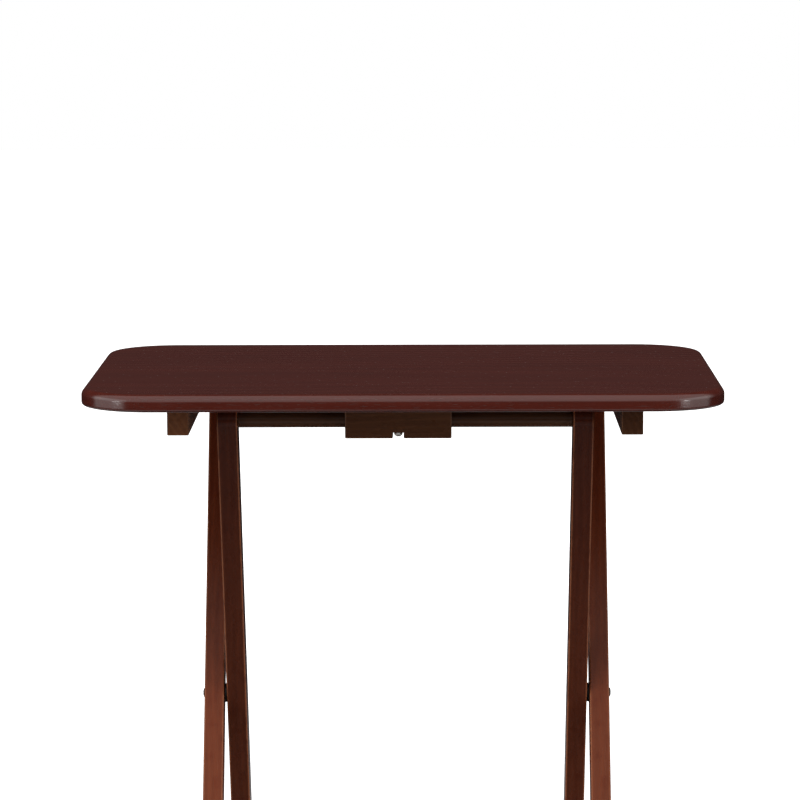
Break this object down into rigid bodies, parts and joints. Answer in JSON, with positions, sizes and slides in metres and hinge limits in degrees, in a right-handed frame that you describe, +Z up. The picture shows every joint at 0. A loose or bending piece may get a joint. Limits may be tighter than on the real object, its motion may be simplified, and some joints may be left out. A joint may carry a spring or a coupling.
{
  "type": "folding tray table",
  "caption": "Small wooden folding table: a rectangular tray with rounded corners on two crossed leg frames that close like scissors, held open by a latch block under the tray.",
  "frame": {"origin": "on the floor, under the middle of the tray", "axes": "+Z up from the floor, -Y towards the front where the latch block is, +X to the right as seen from the front"},
  "size_m": [0.58, 0.4, 0.655],
  "materials": {
    "tray_wood": "dark red-brown walnut stain under satin lacquer",
    "frame_wood": "dark red-brown walnut stain under satin lacquer",
    "pin_wood": "bare fluted beech",
    "steel": "zinc-plated, satin",
    "dark_steel": "dark bronze plating, satin",
    "nylon": "black moulded nylon"
  },
  "bodies": {
    "tray_top": {"tray": "tray_wood", "latch_block": "frame_wood", "latch_screw": "steel", "batten_left": "frame_wood", "batten_right": "frame_wood", "batten_screw_left_front": "steel", "batten_screw_left_middle": "steel", "batten_screw_left_rear": "steel", "batten_screw_right_front": "steel", "batten_screw_right_middle": "steel", "batten_screw_right_rear": "steel", "hinge_bolt_left": "dark_steel", "hinge_bolt_right": "dark_steel", "hinge_washer_left": "nylon", "hinge_washer_right": "nylon", "hinge_insert_left": "steel", "hinge_insert_right": "steel"},
    "outer_frame": {"outer_leg_left": "frame_wood", "outer_leg_right": "frame_wood", "scissor_bolt_left": "dark_steel", "scissor_bolt_right": "dark_steel", "scissor_washer_left": "nylon", "scissor_washer_right": "nylon", "outer_stretcher": "frame_wood", "outer_stretcher_screw_left": "steel", "outer_stretcher_screw_right": "steel", "outer_stretcher_pin_left": "pin_wood", "outer_stretcher_pin_right": "pin_wood"},
    "inner_frame": {"inner_leg_left": "frame_wood", "inner_leg_right": "frame_wood", "scissor_insert_left": "steel", "scissor_insert_right": "steel", "crossbar": "frame_wood", "inner_stretcher": "frame_wood", "inner_stretcher_screw_left": "steel", "inner_stretcher_screw_right": "steel", "inner_stretcher_pin_left": "pin_wood", "inner_stretcher_pin_right": "pin_wood"}
  },
  "joints": [
    {"name": "legs_fold", "type": "hinge", "parent": "tray_top", "child": "outer_frame", "pos_m": [0.0022, 0.128, 0.6245], "axis": [1, 0, 0], "range_deg": [0, 23]},
    {"name": "scissor", "type": "hinge", "parent": "outer_frame", "child": "inner_frame", "pos_m": [0.0022, 0, 0.345], "axis": [1, 0, 0], "range_deg": [-46, 0]}
  ],
  "couplings": [
    {"joint": "scissor", "follows": "legs_fold", "ratio": -2}
  ]
}
